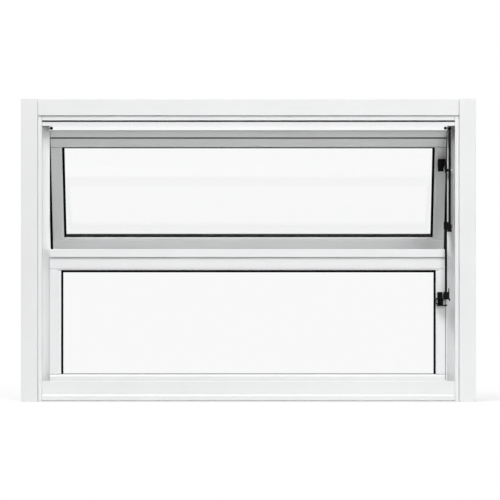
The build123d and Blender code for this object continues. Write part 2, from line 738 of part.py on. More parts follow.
def clamp_knob():
    """Tapered knob with flutes that run out downwards, and a short lever at its foot."""
    top = plate_low - SEAT_CLEAR
    low = foot_top + SEAT_CLEAR
    knob = Pos(knob_x, rod_y, (top + low) / 2) * Cone(KNOB_BOTTOM_R, KNOB_TOP_R, top - low)
    for step in range(KNOB_FLUTES):
        turn = radians(360 * step / KNOB_FLUTES)
        x = knob_x + KNOB_TOP_R * cos(turn)
        y = rod_y + KNOB_TOP_R * sin(turn)
        knob -= rod_z(x, y, low - 1, top + 1, KNOB_FLUTE_R)
    tip = knob_x - KNOB_BOTTOM_R - LEVER_LONG
    return knob + block(tip, knob_x, rod_y - LEVER_W / 2, rod_y + LEVER_W / 2, low, low + LEVER_T)


def guide_spring_clip():
    """Spring beside the guide block, standing up past its top and thinner at its tip."""
    x0 = guide_right + SEAT_CLEAR
    top = guide_top + CLIP_STANDS
    x1 = x0 + CLIP_T
    side = section([(x0, guide_low), (x1, guide_low), (x1, guide_top), (x0 + CLIP_TIP_T, top), (x0, top)])
    return extrude(Plane.XZ.offset(-rod_y) * side, amount=CLIP_W / 2, both=True)


pieces = {
    "head": head,
    "sill": sill,
    "left_jamb": jamb(-1),
    "right_jamb": jamb(1),
    "left_cover_strip": side_strip(-1),
    "right_cover_strip": side_strip(1),
    "top_cover_strip": top_strip(),
    "left_pivot_pin": pivot_pin(-1),
    "right_pivot_pin": pivot_pin(1),
    "connecting_link": connecting_link(),
    "link_pin": link_pin(),
    "pull_bar": pull_bar(),
    "link_bolt": bar_bolt(link_pin_z),
    "rod_coupler": rod_coupler(),
    "coupler_bolt": coupler_bolt(),
    "lower_rod": lower_rod(),
    "rod_guide_bracket": rod_guide_bracket(),
    "clamp_knob": clamp_knob(),
    "guide_spring_clip": guide_spring_clip(),
}
own_names = ("left_pivot_bush", "right_pivot_bush", "left_sash_seal", "right_sash_seal")
own_names += ("sash_bracket", "bracket_pin")
pieces.update({f"lower_{name}": piece for name, piece in lower.items()})
pieces.update({name if name in own_names else f"upper_{name}": piece for name, piece in sash.items()})

os.makedirs("parts", exist_ok=True)
for name, piece in pieces.items():
    export_step(piece, f"parts/{name}.step")

print(f"pivot axis at y {pivot_y:.2f}, z {pivot_z:.2f}")
print(f"link pivot open at y {link_y_open:.3f}, z {link_z_open:.3f}, link {link_long:.2f} long")
print(f"rod travel {rod_travel:.3f}, link swing on the sash {link_swing:.3f} degrees")
print(f"lean closed {lean_closed:.3f}, open {lean_open:.3f}")
print(f"link pin strays from the bolt by up to {max(sqrt(y * y + z * z) for y, z in strays):.2f}")
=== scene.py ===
import math
import bmesh
import bpy
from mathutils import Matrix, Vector


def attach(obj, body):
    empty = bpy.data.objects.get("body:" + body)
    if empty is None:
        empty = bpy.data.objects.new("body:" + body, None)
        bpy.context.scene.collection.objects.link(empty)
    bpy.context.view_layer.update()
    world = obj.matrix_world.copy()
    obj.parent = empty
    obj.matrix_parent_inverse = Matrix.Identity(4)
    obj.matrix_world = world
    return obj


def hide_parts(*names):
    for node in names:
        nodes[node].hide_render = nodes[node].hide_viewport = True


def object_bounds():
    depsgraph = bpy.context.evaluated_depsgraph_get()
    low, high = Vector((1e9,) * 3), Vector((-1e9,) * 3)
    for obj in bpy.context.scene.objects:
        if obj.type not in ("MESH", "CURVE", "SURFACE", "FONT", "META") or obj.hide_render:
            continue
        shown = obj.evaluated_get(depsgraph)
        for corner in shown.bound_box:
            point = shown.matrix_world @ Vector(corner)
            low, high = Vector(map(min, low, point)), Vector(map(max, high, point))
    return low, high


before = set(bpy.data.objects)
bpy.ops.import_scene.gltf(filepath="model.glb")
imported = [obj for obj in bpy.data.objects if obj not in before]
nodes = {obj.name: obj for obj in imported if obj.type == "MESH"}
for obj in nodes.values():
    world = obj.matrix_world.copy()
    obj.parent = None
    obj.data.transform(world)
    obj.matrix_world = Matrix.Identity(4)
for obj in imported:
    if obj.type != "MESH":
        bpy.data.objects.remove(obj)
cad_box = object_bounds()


# Frame: head, sill and two jambs are extruded aluminium bars, cut to length and coated in gloss white powder.
# The coat has a faint orange peel, and its shade and gloss drift a little along the bars.
COAT_WHITE = (0.885, 0.89, 0.895)
COAT_SHADE = (0.862, 0.867, 0.872)
COAT_ROUGHNESS = (0.30, 0.40)
CLOUDS_PER_METRE = 9.0
PEEL_PER_METRE = 420.0
PEEL_DETAIL = 1.0
PEEL_HEIGHT = 0.000004


def start_material(name):
    """An empty node material: the material, its nodes, its links and its shader."""
    material = bpy.data.materials.new(name)
    material.use_nodes = True
    tree = material.node_tree
    tree.nodes.clear()
    output = tree.nodes.new("ShaderNodeOutputMaterial")
    shader = tree.nodes.new("ShaderNodeBsdfPrincipled")
    tree.links.new(shader.outputs["BSDF"], output.inputs["Surface"])
    return material, tree.nodes, tree.links, shader


def add_noise(tree_nodes, links, per_metre, detail=3.0, stretch=(1, 1, 1)):
    """Noise of a given fineness on object coordinates. A stretch under 1 draws it out along that axis."""
    place = tree_nodes.new("ShaderNodeTexCoord")
    mapping = tree_nodes.new("ShaderNodeMapping")
    mapping.inputs["Scale"].default_value = stretch
    noise = tree_nodes.new("ShaderNodeTexNoise")
    noise.inputs["Scale"].default_value = per_metre
    noise.inputs["Detail"].default_value = detail
    links.new(place.outputs["Object"], mapping.inputs["Vector"])
    links.new(mapping.outputs["Vector"], noise.inputs["Vector"])
    return noise.outputs["Fac"]


def add_blend(tree_nodes, links, value, dark, light, ends=(0.35, 0.65)):
    """Colour that runs from one to the other as the value goes from low to high."""
    ramp = tree_nodes.new("ShaderNodeValToRGB")
    ramp.color_ramp.elements[0].position = ends[0]
    ramp.color_ramp.elements[0].color = (*dark, 1)
    ramp.color_ramp.elements[1].position = ends[1]
    ramp.color_ramp.elements[1].color = (*light, 1)
    links.new(value, ramp.inputs["Fac"])
    return ramp.outputs["Color"]


def add_range(tree_nodes, links, value, low, high):
    """Number that runs from low to high with the value."""
    spread = tree_nodes.new("ShaderNodeMapRange")
    spread.inputs["To Min"].default_value = low
    spread.inputs["To Max"].default_value = high
    links.new(value, spread.inputs["Value"])
    return spread.outputs["Result"]


def add_bump(tree_nodes, links, value, height, shader):
    """Bump of a given height in metres on the shader."""
    bump = tree_nodes.new("ShaderNodeBump")
    bump.inputs["Strength"].default_value = 1.0
    bump.inputs["Distance"].default_value = height
    links.new(value, bump.inputs["Height"])
    links.new(bump.outputs["Normal"], shader.inputs["Normal"])


def paint(material, *names):
    """Gives CAD nodes that material."""
    for name in names:
        for material_slot in nodes[name].material_slots:
            material_slot.material = material


coat, coat_nodes, coat_links, coat_shader = start_material("white_powder_coat")
clouds = add_noise(coat_nodes, coat_links, CLOUDS_PER_METRE)
peel = add_noise(coat_nodes, coat_links, PEEL_PER_METRE, PEEL_DETAIL)
coat_links.new(
    add_blend(coat_nodes, coat_links, clouds, COAT_SHADE, COAT_WHITE), coat_shader.inputs["Base Color"]
)
coat_links.new(add_range(coat_nodes, coat_links, clouds, *COAT_ROUGHNESS), coat_shader.inputs["Roughness"])
add_bump(coat_nodes, coat_links, peel, PEEL_HEIGHT, coat_shader)
paint(coat, "head", "sill", "left_jamb", "right_jamb")


# Corner screws: zinc-plated pan-head screws with a cross recess, two at each corner, driven through the
# jambs' sides into the ports of head and sill. Each stopped at its own turn.
ZINC_BRIGHT = (0.72, 0.72, 0.73)
ZINC_DULL = (0.50, 0.50, 0.52)
ZINC_ROUGHNESS = (0.22, 0.42)
SPANGLES_PER_METRE = 700.0
SPANGLE_HEIGHT = 0.00002
CORNER_SCREW_X = 0.2950
CORNER_SCREW_Y = (0.018, 0.046)
CORNER_SCREW_Z = (0.0070, 0.3905)
CORNER_HEAD = {"Head Radius": 0.0034, "Head Height": 0.0016, "Recess Width": 0.0009, "Recess Depth": 0.0010}
CORNER_SEED = 4
HEAD_SEGMENTS = 24
HEAD_RINGS = 12
RECESS_LONG = 1.15      # length of the cross recess, in radii of the head

zinc, zinc_nodes, zinc_links, zinc_shader = start_material("bright_zinc")
spangle = add_noise(zinc_nodes, zinc_links, SPANGLES_PER_METRE)
zinc_links.new(
    add_blend(zinc_nodes, zinc_links, spangle, ZINC_DULL, ZINC_BRIGHT), zinc_shader.inputs["Base Color"]
)
zinc_shader.inputs["Metallic"].default_value = 1.0
zinc_links.new(add_range(zinc_nodes, zinc_links, spangle, *ZINC_ROUGHNESS), zinc_shader.inputs["Roughness"])
add_bump(zinc_nodes, zinc_links, spangle, SPANGLE_HEIGHT, zinc_shader)


def screw_head_tree(name, material):
    """Sets a domed head with a cross recess on each point of a mesh, facing the point's own way."""
    tree = bpy.data.node_groups.new(name, "GeometryNodeTree")
    tree.interface.new_socket("Points", in_out="INPUT", socket_type="NodeSocketGeometry")
    for label in CORNER_HEAD:
        tree.interface.new_socket(label, in_out="INPUT", socket_type="NodeSocketFloat")
    tree.interface.new_socket("Seed", in_out="INPUT", socket_type="NodeSocketInt")
    tree.interface.new_socket("Geometry", in_out="OUTPUT", socket_type="NodeSocketGeometry")
    parts, links = tree.nodes, tree.links
    taken = parts.new("NodeGroupInput")
    given = parts.new("NodeGroupOutput")

    def times(socket, factor):
        node = parts.new("ShaderNodeMath")
        node.operation = "MULTIPLY"
        node.inputs[1].default_value = factor
        links.new(socket, node.inputs[0])
        return node.outputs[0]

    def vector(**sockets):
        node = parts.new("ShaderNodeCombineXYZ")
        for axis, socket in sockets.items():
            links.new(socket, node.inputs[axis])
        return node.outputs[0]

    radius, height = taken.outputs["Head Radius"], taken.outputs["Head Height"]
    ball = parts.new("GeometryNodeMeshUVSphere")
    ball.inputs["Segments"].default_value = HEAD_SEGMENTS
    ball.inputs["Rings"].default_value = HEAD_RINGS
    dome = parts.new("GeometryNodeTransform")
    links.new(ball.outputs["Mesh"], dome.inputs["Geometry"])
    links.new(vector(X=radius, Y=radius, Z=height), dome.inputs["Scale"])
    cut = parts.new("GeometryNodeMeshBoolean")
    cut.operation = "DIFFERENCE"
    links.new(dome.outputs["Geometry"], cut.inputs[0])
    for across in (0.0, math.pi / 2):
        blade = parts.new("GeometryNodeMeshCube")
        long, wide = times(radius, RECESS_LONG), taken.outputs["Recess Width"]
        deep = times(taken.outputs["Recess Depth"], 2.0)
        links.new(vector(X=long, Y=wide, Z=deep), blade.inputs["Size"])
        raised = parts.new("GeometryNodeTransform")
        raised.inputs["Rotation"].default_value = (0, 0, across)
        links.new(blade.outputs["Mesh"], raised.inputs["Geometry"])
        links.new(vector(Z=height), raised.inputs["Translation"])
        links.new(raised.outputs["Geometry"], cut.inputs[1])

    facing = parts.new("GeometryNodeInputNamedAttribute")
    facing.data_type = "FLOAT_VECTOR"
    facing.inputs["Name"].default_value = "facing"
    align = parts.new("FunctionNodeAlignRotationToVector")
    align.axis = "Z"
    links.new(facing.outputs["Attribute"], align.inputs["Vector"])
    turn = parts.new("FunctionNodeRandomValue")
    turn.data_type = "FLOAT"
    turn.inputs[3].default_value = math.pi / 2
    links.new(taken.outputs["Seed"], turn.inputs["Seed"])
    spin = parts.new("FunctionNodeAxisAngleToRotation")
    spin.inputs["Axis"].default_value = (0, 0, 1)
    links.new(turn.outputs[1], spin.inputs["Angle"])
    rotate = parts.new("FunctionNodeRotateRotation")
    rotate.rotation_space = "LOCAL"
    links.new(align.outputs["Rotation"], rotate.inputs["Rotation"])
    links.new(spin.outputs["Rotation"], rotate.inputs["Rotate By"])

    heads = parts.new("GeometryNodeInstanceOnPoints")
    links.new(taken.outputs["Points"], heads.inputs["Points"])
    links.new(cut.outputs["Mesh"], heads.inputs["Instance"])
    links.new(rotate.outputs["Rotation"], heads.inputs["Rotation"])
    real = parts.new("GeometryNodeRealizeInstances")
    finish = parts.new("GeometryNodeSetMaterial")
    finish.inputs["Material"].default_value = material
    links.new(heads.outputs["Instances"], real.inputs["Geometry"])
    links.new(real.outputs["Geometry"], finish.inputs["Geometry"])
    links.new(finish.outputs["Geometry"], given.inputs["Geometry"])
    return tree


def set_screws(name, tree, sizes, seed, places, body):
    """One mesh of screw heads. Each place is where a head sits and the way it faces."""
    marks = bpy.data.meshes.new(name + "_marks")
    marks.from_pydata([place for place, way in places], [], [])
    ways = marks.attributes.new("facing", "FLOAT_VECTOR", "POINT")
    for mark, (place, way) in zip(ways.data, places):
        mark.vector = way
    screws = bpy.data.objects.new(name, marks)
    bpy.context.scene.collection.objects.link(screws)
    modifier = screws.modifiers.new("heads", "NODES")
    modifier.node_group = tree
    for item in tree.interface.items_tree:
        if item.name in sizes:
            modifier[item.identifier] = sizes[item.name]
        if item.name == "Seed":
            modifier[item.identifier] = seed
    graph = bpy.context.evaluated_depsgraph_get()
    heads = bpy.data.meshes.new_from_object(screws.evaluated_get(graph), depsgraph=graph)
    screws.modifiers.remove(modifier)
    screws.data = heads
    bpy.data.meshes.remove(marks)
    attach(screws, body)


zinc_heads = screw_head_tree("zinc_screw_heads", zinc)
corner_places = [
    ((side * CORNER_SCREW_X, y, z), (side, 0, 0))
    for side in (-1, 1) for y in CORNER_SCREW_Y for z in CORNER_SCREW_Z
]
set_screws(
    "corner_screws", zinc_heads, CORNER_HEAD, CORNER_SEED, corner_places, "window_frame"
)


# Groove strip: painted shade. A dark rubber strip with a round nose fills the groove behind the head's lip
# from end to end and darkens it. The rubber is matt black, a little grey where it has been wiped.
RUBBER_BLACK = (0.002, 0.002, 0.0022)
RUBBER_GREY = (0.007, 0.007, 0.0075)
RUBBER_ROUGHNESS = (0.60, 0.80)
RUBBER_SPECULAR = 0.04
RUBBER_GRAIN_PER_METRE = 900.0
RUBBER_GRAIN_HEIGHT = 0.00001
STRIP_NOSE_STEPS = 5          # steps in a quarter of the round nose
HEAD_SHADE_STRIP_HALF = 0.2880
HEAD_SHADE_STRIP_Y = (-0.0008, 0.0019)
HEAD_SHADE_STRIP_Z = (0.3901, 0.3919)

rubber, rubber_nodes, rubber_links, rubber_shader = start_material("black_rubber")
rubber_shader.inputs["Specular IOR Level"].default_value = RUBBER_SPECULAR
grain = add_noise(rubber_nodes, rubber_links, RUBBER_GRAIN_PER_METRE)
wiped = add_noise(rubber_nodes, rubber_links, CLOUDS_PER_METRE)
rubber_links.new(
    add_blend(rubber_nodes, rubber_links, wiped, RUBBER_BLACK, RUBBER_GREY),
    rubber_shader.inputs["Base Color"],
)
rubber_links.new(
    add_range(rubber_nodes, rubber_links, wiped, *RUBBER_ROUGHNESS), rubber_shader.inputs["Roughness"]
)
add_bump(rubber_nodes, rubber_links, grain, RUBBER_GRAIN_HEIGHT, rubber_shader)


def make_piece(name, points, faces, material, body, slot):
    """Closed mesh piece with its faces turned outwards."""
    mesh = bpy.data.meshes.new(name)
    mesh.from_pydata(points, [], faces)
    shape = bmesh.new()
    shape.from_mesh(mesh)
    bmesh.ops.recalc_face_normals(shape, faces=shape.faces)
    shape.to_mesh(mesh)
    shape.free()
    mesh.materials.append(material)
    piece = bpy.data.objects.new(name, mesh)
    bpy.context.scene.collection.objects.link(piece)
    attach(piece, body)
    return piece


def extrude(outline, x0, x1):
    """Points and faces of a closed bar along x with that outline in y and z."""
    count = len(outline)
    points = [(x, y, z) for x in (x0, x1) for y, z in outline]
    faces = [tuple(range(count)), tuple(range(2 * count - 1, count - 1, -1))]
    for i in range(count):
        j = (i + 1) % count
        faces.append((i, j, count + j, count + i))
    return points, faces


def groove_strip_outline(y0, y1, z0, z1):
    """Outline of a strip that fills a groove as painted shade and has a round nose at y0."""
    middle, half = (z0 + z1) / 2, (z1 - z0) / 2
    outline = [(y1, z0), (y1, z1)]
    for step in range(2 * STRIP_NOSE_STEPS + 1):
        turn = math.pi / 2 * (1 - step / STRIP_NOSE_STEPS)
        outline.append((y0 + half - half * math.cos(turn), middle + half * math.sin(turn)))
    return outline


# Painted shade: a black strip that darkens the groove under the head's lip.
head_shade_strip = extrude(groove_strip_outline(*HEAD_SHADE_STRIP_Y, *HEAD_SHADE_STRIP_Z), -HEAD_SHADE_STRIP_HALF, HEAD_SHADE_STRIP_HALF)
make_piece("head_groove_shade_strip", *head_shade_strip, rubber, "window_frame", "black_rubber")


# Weep covers: two small hoods of white plastic, pressed over the drain slots in the sill's outdoor face.
# The hood slopes to shed rain and is open below.
PLASTIC_WHITE = (0.80, 0.80, 0.79)
PLASTIC_OLD = (0.74, 0.74, 0.72)
PLASTIC_ROUGHNESS = (0.4, 0.5)
YELLOWING_PER_METRE = 120.0
PLASTIC_GRAIN_HEIGHT = 0.00001
WEEP_X = 0.170
WEEP_HALF = 0.0150
WEEP_OUTLINE = (
    (0.0620, 0.0062), (0.06389, 0.0056), (0.06557, 0.0042), (0.0662, 0.0010),
    (0.0654, 0.0010), (0.06477, 0.0036), (0.0620, 0.0044),
)

plastic, plastic_nodes, plastic_links, plastic_shader = start_material("white_plastic")
yellowed = add_noise(plastic_nodes, plastic_links, YELLOWING_PER_METRE)
plastic_links.new(
    add_blend(plastic_nodes, plastic_links, yellowed, PLASTIC_OLD, PLASTIC_WHITE),
    plastic_shader.inputs["Base Color"],
)
plastic_links.new(
    add_range(plastic_nodes, plastic_links, yellowed, *PLASTIC_ROUGHNESS), plastic_shader.inputs["Roughness"]
)
add_bump(plastic_nodes, plastic_links, yellowed, PLASTIC_GRAIN_HEIGHT, plastic_shader)

for side, name in ((-1, "left"), (1, "right")):
    hood = extrude(WEEP_OUTLINE, side * WEEP_X - WEEP_HALF, side * WEEP_X + WEEP_HALF)
    make_piece(f"{name}_weep_cover", *hood, plastic, "window_frame", "white_coat")


# Cover strips: three coated bars that snap over the gap round the frame on the room side. They come from the
# same coating batch as the frame.
paint(coat, "left_cover_strip", "right_cover_strip", "top_cover_strip")


# Sill shadow strip: painted shade, a thin black strip along the underside of the sill, turned up a little
# over its front edge. From the room it shows as a fine dark line of shade under the sill.
SILL_SHADOW_HALF = 0.2890
SILL_SHADOW_OUTLINE = (
    (-0.0037, -0.0003), (-0.0040, 0.0), (-0.0039, 0.0002), (-0.0034, 0.0002),
    (0.0090, 0.0001), (0.0090, -0.0003),
)

# Painted shade: a black strip that draws the shadow line under the sill.
sill_shadow = extrude(SILL_SHADOW_OUTLINE, -SILL_SHADOW_HALF, SILL_SHADOW_HALF)
make_piece("sill_shadow_strip", *sill_shadow, rubber, "window_frame", "black_rubber")


# Lower light: four coated bars round a fixed pane, rails right across and stiles between them, held by screws
# down through the top rail into the stiles' ports.
LOWER_SCREW_X = 0.2703
LOWER_SCREW_Y = (0.0062, 0.0122)
LOWER_SCREW_Z = 0.2117
LOWER_SEED = 8
RAIL_HEAD = {"Head Radius": 0.0024, "Head Height": 0.0012, "Recess Width": 0.0007, "Recess Depth": 0.0007}

paint(coat, "lower_top_rail", "lower_bottom_rail", "lower_left_stile", "lower_right_stile")
lower_places = [
    ((side * LOWER_SCREW_X, y, LOWER_SCREW_Z), (0, 0, 1)) for side in (-1, 1) for y in LOWER_SCREW_Y
]
set_screws(
    "lower_rail_screws", zinc_heads, RAIL_HEAD, LOWER_SEED, lower_places, "window_frame"
)


# Stile line: a fine black cord along the right stile and the rail below it, behind the rod. It draws a dark
# line there.
STILE_LINE_Z = (0.0290, 0.1826)
STILE_LINE_OUTLINE = (
    (0.27555, 0.0027), (0.27555, 0.00231), (0.275655, 0.00216), (0.2759, 0.0021), (0.276145, 0.00216),
    (0.27625, 0.00231), (0.27625, 0.0027),
)

# A black cord that draws a dark line along the stile.
edge_points, edge_faces = extrude(STILE_LINE_OUTLINE, *STILE_LINE_Z)
edge_points = [(across, out, up) for up, across, out in edge_points]
make_piece("stile_dark_line", edge_points, edge_faces, rubber, "window_frame", "black_rubber")


# Gaskets: black rubber wedges with a round nose, pushed in between pane and bar on both sides of the glass
# and mitred at the corners. Along the bottom of the lower light the bar's lip nearly hides them.
GASKET_BITE = 0.0050
GASKET_NOSE = 0.0003
# Reach over the glass, depth in the seat, and share of the nose
GASKET_PROFILE = (
    (-1.0, 0.0, 0.0), (1.0, 0.0, 0.0), (1.0, 0.45, 0.0), (0.88, 0.85, 0.0),
    (0.62, 1.0, 1.0), (0.30, 1.0, 0.8), (0.06, 1.0, 0.0), (-1.0, 1.0, 0.0),
)
ROOM_SEAT = 0.0010
OUTDOOR_SEAT = 0.0057
GLASS_THICK = 0.0040
# Half width, foot and top of the opening between the bars
LOWER_OPENING = (0.2624, 0.0367, 0.1827)
LOWER_GLASS_Y = 0.0069
LOWER_SHOWS = (0.0031, 0.0009, 0.0034)
LOWER_BACK_SHOWS = (0.0010, 0.0004, 0.0010)
UPPER_OPENING = (0.2626, 0.2038, 0.3550)
UPPER_GLASS_Y = 0.0277
UPPER_SHOWS = (0.0035, 0.0016, 0.0036)
UPPER_BACK_SHOWS = (0.0010, 0.0002, 0.0010)
PIVOT_Y, PIVOT_Z = 0.0310, 0.3809
SASH_OPEN = math.radians(32)


def on_sash(x, y, z):
    """Where a point of the closed sash is while the sash stands open, as it does at rest."""
    out, up = y - PIVOT_Y, z - PIVOT_Z
    cosine, sine = math.cos(SASH_OPEN), math.sin(SASH_OPEN)
    return x, PIVOT_Y + out * cosine - up * sine, PIVOT_Z + out * sine + up * cosine


def facing_on_sash(y, z):
    """A direction across the closed sash, turned with it."""
    cosine, sine = math.cos(SASH_OPEN), math.sin(SASH_OPEN)
    return 0, y * cosine - z * sine, y * sine + z * cosine


def extrude_on_sash(outline, x0, x1):
    """Points and faces of a bar along x, whose outline is given for the closed sash, as it stands at rest."""
    points, faces = extrude(outline, x0, x1)
    return [on_sash(*point) for point in points], faces


def gasket_ring(opening, glass_y, seat, shows):
    """Points and faces of a mitred ring that fills the seat between glass and bar. Seat: its depth from the
    glass, negative towards the room. Shows: how far it reaches past the bar at the sides, below and above."""
    half, low, high = opening
    nose = GASKET_NOSE / abs(seat)
    points = []
    for side_x, side_z in ((-1, -1), (1, -1), (1, 1), (-1, 1)):
        for reach, deep, swell in GASKET_PROFILE:
            in_x = reach * shows[0] if reach > 0 else -GASKET_BITE
            in_z = reach * (shows[1] if side_z < 0 else shows[2]) if reach > 0 else -GASKET_BITE
            edge = low + in_z if side_z < 0 else high - in_z
            points.append((side_x * (half - in_x), glass_y + (deep + swell * nose) * seat, edge))
    count = len(GASKET_PROFILE)
    faces = []
    for corner in range(4):
        here, there = corner * count, (corner + 1) % 4 * count
        for i in range(count):
            j = (i + 1) % count
            faces.append((here + i, here + j, there + j, there + i))
    return points, faces


for name, node, opening, glass_y, seat, shows in (
    ("lower_glazing_gasket", "lower_front_gasket", LOWER_OPENING, LOWER_GLASS_Y, -ROOM_SEAT, LOWER_SHOWS),
    ("lower_outdoor_gasket", "lower_back_gasket", LOWER_OPENING, LOWER_GLASS_Y + GLASS_THICK, OUTDOOR_SEAT,
     LOWER_BACK_SHOWS),
    ("upper_glazing_gasket", "upper_front_gasket", UPPER_OPENING, UPPER_GLASS_Y, -ROOM_SEAT, UPPER_SHOWS),
    ("upper_outdoor_gasket", "upper_back_gasket", UPPER_OPENING, UPPER_GLASS_Y + GLASS_THICK, OUTDOOR_SEAT,
     UPPER_BACK_SHOWS),
):
    ring_points, ring_faces = gasket_ring(opening, glass_y, seat, shows)
    body = "window_frame"
    if node.startswith("upper"):
        ring_points = [on_sash(*point) for point in ring_points]
        body = "upper_sash"
    gasket = make_piece(name, ring_points, ring_faces, rubber, body, "black_rubber")
    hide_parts(node)


# Panes: one 4 mm sheet of clear float glass in each light, bedded in the gaskets. A trace of haze shows where
# it has been wiped.
GLASS_TINT = (0.934, 0.939, 0.936)
GLASS_IOR = 1.45
GLASS_ROUGHNESS = (0.0, 0.02)

glass, glass_nodes, glass_links, glass_shader = start_material("clear_glass")
haze = add_noise(glass_nodes, glass_links, CLOUDS_PER_METRE)
glass_shader.inputs["Base Color"].default_value = (*GLASS_TINT, 1)
glass_shader.inputs["Transmission Weight"].default_value = 1.0
glass_shader.inputs["IOR"].default_value = GLASS_IOR
glass_links.new(add_range(glass_nodes, glass_links, haze, *GLASS_ROUGHNESS), glass_shader.inputs["Roughness"])
paint(glass, "lower_glass", "upper_glass")


# Sash: the upper light, made like the lower one but hung at its top edge. Screws go up through its bottom
# rail into the stiles. From the groove under its top flange a black rubber strip droops over the rail's face
# as painted shade that darkens the groove.
SASH_SCREW_X = 0.2705
SASH_SCREW_Y = (0.0265, 0.0335)
SASH_SCREW_Z = 0.1860
SASH_SEED = 11
GROOVE_SHADE_HALF = 0.2783
GROOVE_SHADE_OUTLINE = (
    (0.0260, 0.3716), (0.0260, 0.3729), (0.0230, 0.3729), (0.0224, 0.3726), (0.0221, 0.3719),
    (0.0221, 0.3706), (0.0224, 0.3702), (0.0229, 0.3702), (0.0231, 0.3706), (0.02315, 0.3716),
)

paint(coat, "upper_top_rail", "upper_bottom_rail", "upper_left_stile", "upper_right_stile")
sash_places = [
    (on_sash(side * SASH_SCREW_X, y, SASH_SCREW_Z), facing_on_sash(0, -1))
    for side in (-1, 1) for y in SASH_SCREW_Y
]
set_screws("sash_rail_screws", zinc_heads, RAIL_HEAD, SASH_SEED, sash_places, "upper_sash")
# Painted shade: a black strip that darkens the groove under the sash's top flange.
groove_shade = extrude_on_sash(GROOVE_SHADE_OUTLINE, -GROOVE_SHADE_HALF, GROOVE_SHADE_HALF)
make_piece("sash_groove_shade_strip", *groove_shade, rubber, "upper_sash", "black_rubber")
paint(rubber, "left_sash_seal", "right_sash_seal")


# Glazing bead: a slim coated bar clipped along the foot of the sash's opening. It holds the gasket back, and
# its rounded top catches the light as a bright line under the black one.
GLAZING_BEAD_HALF = UPPER_OPENING[0]
GLAZING_BEAD_OUTLINE = (
    (0.0234, 0.2036), (0.0234, 0.2040), (0.0236, 0.2044), (0.0240, 0.2046),
    (0.0263, 0.2047), (0.0266, 0.2045), (0.0266, 0.2036),
)

glazing_bead = extrude_on_sash(GLAZING_BEAD_OUTLINE, -GLAZING_BEAD_HALF, GLAZING_BEAD_HALF)
make_piece("sash_glazing_bead", *glazing_bead, coat, "upper_sash", "white_coat")


# Pivots: a black steel pin in each jamb turns in a nylon bush in the sash's top rail. The screw that fixes
# the pin's plate comes through the head's stop under a small domed black cap.
NYLON_BLACK = (0.0022, 0.0022, 0.0024)
NYLON_WORN = (0.008, 0.008, 0.0084)
NYLON_ROUGHNESS = (0.40, 0.55)
NYLON_SPECULAR = 0.05
NYLON_WEAR_PER_METRE = 60.0
NYLON_GRAIN_PER_METRE = 1500.0
NYLON_GRAIN_HEIGHT = 0.00001
STEEL_BLACK = (0.0022, 0.0022, 0.0023)
STEEL_RUBBED = (0.010, 0.010, 0.0103)
STEEL_ROUGHNESS = (0.32, 0.48)
STEEL_SPECULAR = 0.06
STEEL_RUBS_PER_METRE = 45.0
STEEL_RUB_STRETCH = (1, 1, 0.3)
STEEL_GRAIN_HEIGHT = 0.00001
WORN_PATCHES = (0.45, 0.75)
CAP_X = 0.2758
CAP_Z = 0.3811
CAP_Y = -0.0024
CAP_LEAN = 9.5
CAP_R = 0.0022
# Across and out, in radii of the cap
CAP_PROFILE = ((1.0, 0.6), (1.0, -0.16), (0.93, -0.30), (0.72, -0.48), (0.40, -0.60))
CAP_TIP = -0.64
CAP_SIDES = 24

nylon, nylon_nodes, nylon_links, nylon_shader = start_material("black_nylon")
nylon_shader.inputs["Specular IOR Level"].default_value = NYLON_SPECULAR
nylon_grain = add_noise(nylon_nodes, nylon_links, NYLON_GRAIN_PER_METRE)
nylon_wear = add_noise(nylon_nodes, nylon_links, NYLON_WEAR_PER_METRE)
nylon_links.new(
    add_blend(nylon_nodes, nylon_links, nylon_wear, NYLON_BLACK, NYLON_WORN, WORN_PATCHES),
    nylon_shader.inputs["Base Color"],
)
nylon_links.new(
    add_range(nylon_nodes, nylon_links, nylon_wear, *NYLON_ROUGHNESS), nylon_shader.inputs["Roughness"]
)
add_bump(nylon_nodes, nylon_links, nylon_grain, NYLON_GRAIN_HEIGHT, nylon_shader)
paint(nylon, "left_pivot_bush", "right_pivot_bush")

steel, steel_nodes, steel_links, steel_shader = start_material("black_steel")
steel_shader.inputs["Specular IOR Level"].default_value = STEEL_SPECULAR
rubbed = add_noise(steel_nodes, steel_links, STEEL_RUBS_PER_METRE, stretch=STEEL_RUB_STRETCH)
steel_links.new(
    add_blend(steel_nodes, steel_links, rubbed, STEEL_BLACK, STEEL_RUBBED, WORN_PATCHES),
    steel_shader.inputs["Base Color"],
)
steel_links.new(
    add_range(steel_nodes, steel_links, rubbed, *STEEL_ROUGHNESS), steel_shader.inputs["Roughness"]
)
add_bump(steel_nodes, steel_links, rubbed, STEEL_GRAIN_HEIGHT, steel_shader)
paint(steel, "left_pivot_pin", "right_pivot_pin")


